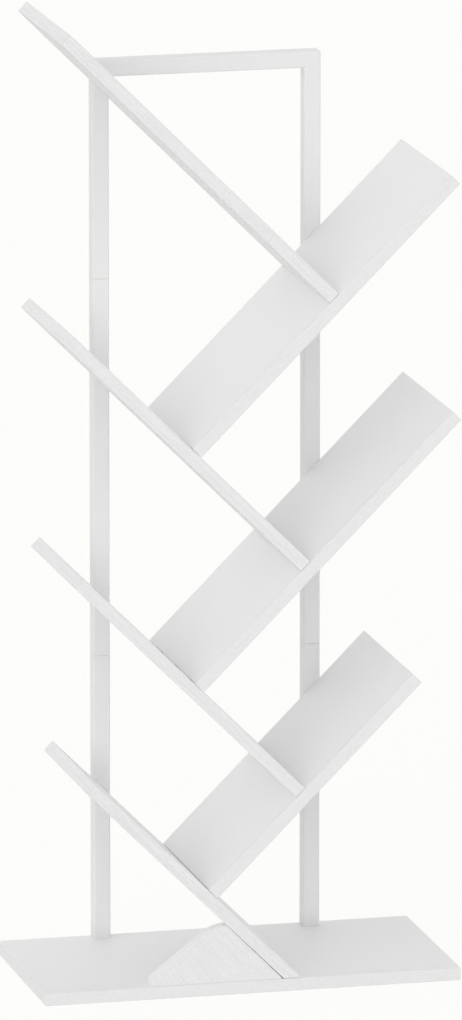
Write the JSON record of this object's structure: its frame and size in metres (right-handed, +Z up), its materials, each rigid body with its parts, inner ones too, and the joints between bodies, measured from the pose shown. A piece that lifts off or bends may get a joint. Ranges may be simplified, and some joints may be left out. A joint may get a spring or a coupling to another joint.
{
  "type": "tree shaped bookshelf",
  "caption": "Free-standing bookshelf with slanted boards that climb a steel tube frame in a zigzag above a flat base board.",
  "frame": {"origin": "On the floor, under the middle of the base board", "axes": "+X to the right as seen from the front, +Y to the back, +Z up"},
  "size_m": [0.5, 0.2526, 1.1452],
  "materials": {
    "white_board": "white melamine on particle board with a faint lengthwise wood grain, satin",
    "white_steel": "white powder coat, semi-matt",
    "zinc_steel": "bright zinc plating",
    "dowel_wood": "bare beech"
  },
  "bodies": {
    "root": {"base_board": "white_board", "left_shelf_1": "white_board", "right_shelf_1": "white_board", "left_shelf_2": "white_board", "right_shelf_2": "white_board", "left_shelf_3": "white_board", "right_shelf_3": "white_board", "left_shelf_4": "white_board", "front_gusset": "white_board", "top_frame": "white_steel", "left_middle_post": "white_steel", "right_middle_post": "white_steel", "left_lower_post": "white_steel", "right_lower_post": "white_steel", "left_upper_sleeve": "zinc_steel", "left_upper_sleeve_screw": "zinc_steel", "left_lower_sleeve": "zinc_steel", "left_lower_sleeve_screw": "zinc_steel", "right_upper_sleeve": "zinc_steel", "right_upper_sleeve_screw": "zinc_steel", "right_lower_sleeve": "zinc_steel", "right_lower_sleeve_screw": "zinc_steel", "left_post_insert": "zinc_steel", "right_post_insert": "zinc_steel", "left_post_bolt": "zinc_steel", "right_post_bolt": "zinc_steel", "left_shelf_1_bolt": "zinc_steel", "right_shelf_1_bolt": "zinc_steel", "left_shelf_2_bolt": "zinc_steel", "right_shelf_2_bolt": "zinc_steel", "left_shelf_3_bolt": "zinc_steel", "right_shelf_3_bolt": "zinc_steel", "left_shelf_4_bolt": "zinc_steel", "right_shelf_1_joint_screw_front": "zinc_steel", "right_shelf_1_joint_screw_rear": "zinc_steel", "right_shelf_1_joint_dowel": "dowel_wood", "left_shelf_2_joint_screw_front": "zinc_steel", "left_shelf_2_joint_screw_rear": "zinc_steel", "left_shelf_2_joint_dowel": "dowel_wood", "right_shelf_2_joint_screw_front": "zinc_steel", "right_shelf_2_joint_screw_rear": "zinc_steel", "right_shelf_2_joint_dowel": "dowel_wood", "left_shelf_3_joint_screw_front": "zinc_steel", "left_shelf_3_joint_screw_rear": "zinc_steel", "left_shelf_3_joint_dowel": "dowel_wood", "right_shelf_3_joint_screw_front": "zinc_steel", "right_shelf_3_joint_screw_rear": "zinc_steel", "right_shelf_3_joint_dowel": "dowel_wood", "left_shelf_4_joint_screw_front": "zinc_steel", "left_shelf_4_joint_screw_rear": "zinc_steel", "left_shelf_4_joint_dowel": "dowel_wood", "foot_screw_front": "zinc_steel", "foot_screw_rear": "zinc_steel", "gusset_screw_left": "zinc_steel", "gusset_screw_right": "zinc_steel", "gusset_dowel": "dowel_wood"}
  },
  "joints": []
}
